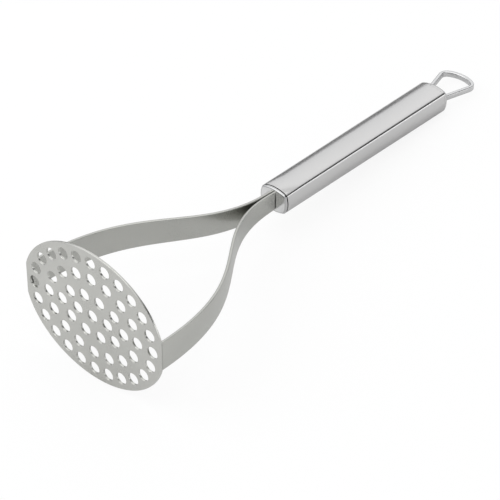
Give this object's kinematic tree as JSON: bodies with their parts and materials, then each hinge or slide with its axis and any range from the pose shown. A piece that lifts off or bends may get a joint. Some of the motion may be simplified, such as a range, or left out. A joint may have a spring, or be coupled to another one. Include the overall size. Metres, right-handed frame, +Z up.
{
  "type": "potato masher",
  "caption": "Hand potato masher: an oval perforated plate on two bowed strip arms, an oval tube handle and a hanging loop, all in stainless steel.",
  "frame": {"origin": "on the table, under the middle of the part's bounding box", "axes": "+Z up from the table the tool lies on; +Y along the tool from the mashing plate to the hanging loop; +X across the two arms"},
  "size_m": [0.0854, 0.275, 0.0711],
  "materials": {
    "plate_steel": "satin",
    "strip_steel": "satin",
    "tube_steel": "brushed along the tube",
    "cap_steel": "polished pressing",
    "loop_steel": "polished",
    "weld_steel": "as welded, dressed"
  },
  "bodies": {
    "root": {"mash_plate": "plate_steel", "arm_left": "strip_steel", "arm_right": "strip_steel", "plate_weld_left": "weld_steel", "plate_weld_right": "weld_steel", "front_cap": "cap_steel", "tang_weld_left": "weld_steel", "tang_weld_right": "weld_steel", "handle_tube": "tube_steel", "rear_cap": "cap_steel", "loop_weld_left": "weld_steel", "loop_weld_right": "weld_steel", "hanging_loop": "loop_steel"}
  },
  "joints": []
}
